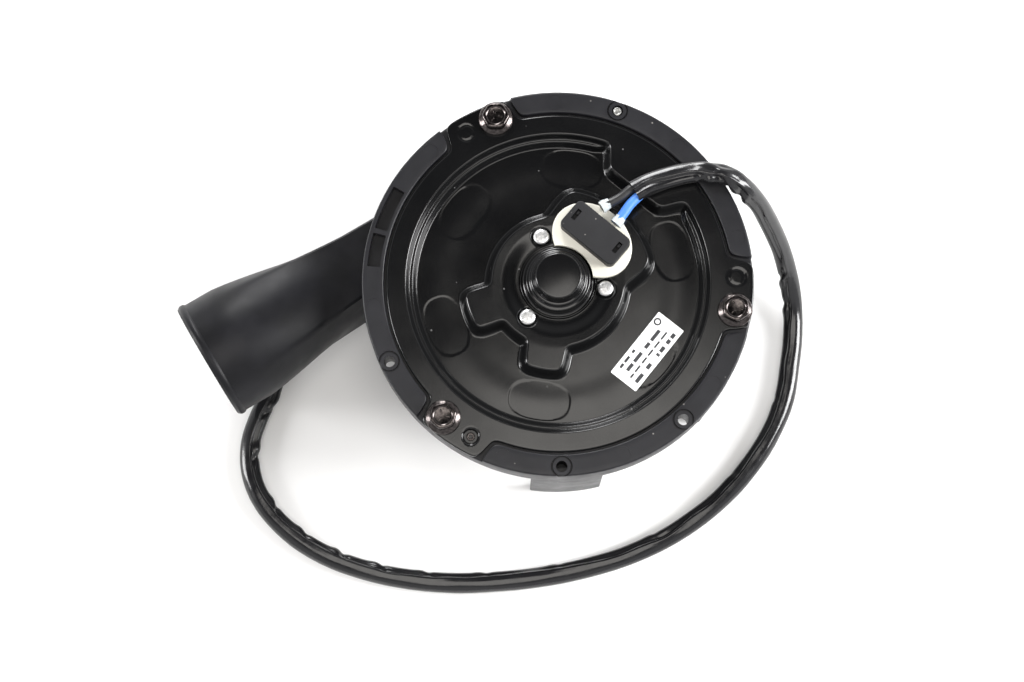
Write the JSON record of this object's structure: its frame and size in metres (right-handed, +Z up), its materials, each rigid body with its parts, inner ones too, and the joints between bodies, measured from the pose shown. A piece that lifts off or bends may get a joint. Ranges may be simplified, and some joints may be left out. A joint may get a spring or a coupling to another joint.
{
  "type": "electric supercharger",
  "caption": "Electric centrifugal supercharger: a flat brush motor in a round ring drives an impeller in a volute with a hose spigot; sleeved cable to a plug.",
  "frame": {"origin": "middle of the base of the box round the unit, leaving out the cable, on the surface it rests on", "axes": "+Z up along the motor shaft, away from the inlet; the outlet spigot points towards -X and lies on the +Y side of the shaft"},
  "size_m": [0.2486, 0.1906, 0.077],
  "materials": {
    "casing_plastic": "satin black glass-filled nylon",
    "ring_plastic": "fine-grained charcoal nylon moulding",
    "plate_paint": "gloss black paint on pressed steel",
    "zinc_steel": "dull zinc-plated steel",
    "gasket_rubber": "black rubber",
    "dark_bolt_steel": "blackened steel with a bronze sheen",
    "brass": "plain brass",
    "bright_steel": "bright ground steel",
    "copper": "copper winding and segments",
    "impeller_plastic": "black glass-filled nylon",
    "ferrite": "dark grey sintered ferrite",
    "card_plastic": "brown phenolic board",
    "carbon": "dark carbon block",
    "cream_plastic": "cream moulded insulator",
    "cap_plastic": "charcoal matte moulding",
    "black_wire": "black vinyl insulation",
    "blue_wire": "blue vinyl insulation",
    "label_paper": "white label, blank",
    "sleeve_vinyl": "glossy black vinyl sleeving"
  },
  "bodies": {
    "unit": {"volute_casing": "casing_plastic", "motor_housing": "ring_plastic", "motor_plate": "plate_paint", "bearing_cup": "plate_paint", "motor_cup": "zinc_steel", "dowel_pin": "zinc_steel", "ring_screw": "zinc_steel", "casing_screw_1": "zinc_steel", "casing_screw_2": "zinc_steel", "casing_screw_3": "zinc_steel", "plate_gasket": "gasket_rubber", "flange_bolt_1": "dark_bolt_steel", "flange_bolt_2": "dark_bolt_steel", "flange_bolt_3": "dark_bolt_steel", "threaded_insert_1": "brass", "threaded_insert_2": "brass", "threaded_insert_3": "brass", "terminal_1": "brass", "terminal_2": "brass", "plate_rivet_1": "bright_steel", "plate_rivet_2": "bright_steel", "plate_rivet_3": "bright_steel", "upper_bearing": "bright_steel", "lower_bearing": "bright_steel", "brush_spring_1": "bright_steel", "brush_spring_2": "bright_steel", "brush_spring_3": "bright_steel", "brush_spring_4": "bright_steel", "magnet_1": "ferrite", "magnet_2": "ferrite", "magnet_3": "ferrite", "magnet_4": "ferrite", "magnet_5": "ferrite", "magnet_6": "ferrite", "brush_card": "card_plastic", "connector_base": "cream_plastic", "connector_cap": "cap_plastic", "cable_plug": "cap_plastic", "black_lead": "black_wire", "blue_lead": "blue_wire", "rating_label": "label_paper", "cable_sleeve": "sleeve_vinyl"},
    "rotor": {"motor_shaft": "bright_steel", "armature": "copper", "commutator": "copper", "shaft_spacer": "zinc_steel", "upper_bearing_race": "bright_steel", "lower_bearing_race": "bright_steel", "impeller": "impeller_plastic", "impeller_washer": "zinc_steel", "impeller_nut": "zinc_steel"},
    "brush_1": {"brush_1": "carbon"},
    "brush_2": {"brush_2": "carbon"},
    "brush_3": {"brush_3": "carbon"},
    "brush_4": {"brush_4": "carbon"}
  },
  "joints": [
    {"name": "rotor_spin", "type": "hinge", "parent": "unit", "child": "rotor", "pos_m": [0.0295, 0, 0.05], "axis": [0, 0, 1], "continuous": true},
    {"name": "brush_1_slide", "type": "slide", "parent": "unit", "child": "brush_1", "axis": [0.6884, 0.7254, 0], "range_m": [0, 0.004], "stiffness_N_per_m": 150, "springref_m": -0.003, "deforming": ["brush_spring_1"]},
    {"name": "brush_2_slide", "type": "slide", "parent": "unit", "child": "brush_2", "axis": [-0.9724, 0.2334, 0], "range_m": [0, 0.004], "stiffness_N_per_m": 150, "springref_m": -0.003, "deforming": ["brush_spring_2"]},
    {"name": "brush_3_slide", "type": "slide", "parent": "unit", "child": "brush_3", "axis": [-0.6884, -0.7254, 0], "range_m": [0, 0.004], "stiffness_N_per_m": 150, "springref_m": -0.003, "deforming": ["brush_spring_3"]},
    {"name": "brush_4_slide", "type": "slide", "parent": "unit", "child": "brush_4", "axis": [0.9724, -0.2334, 0], "range_m": [0, 0.004], "stiffness_N_per_m": 150, "springref_m": -0.003, "deforming": ["brush_spring_4"]}
  ]
}
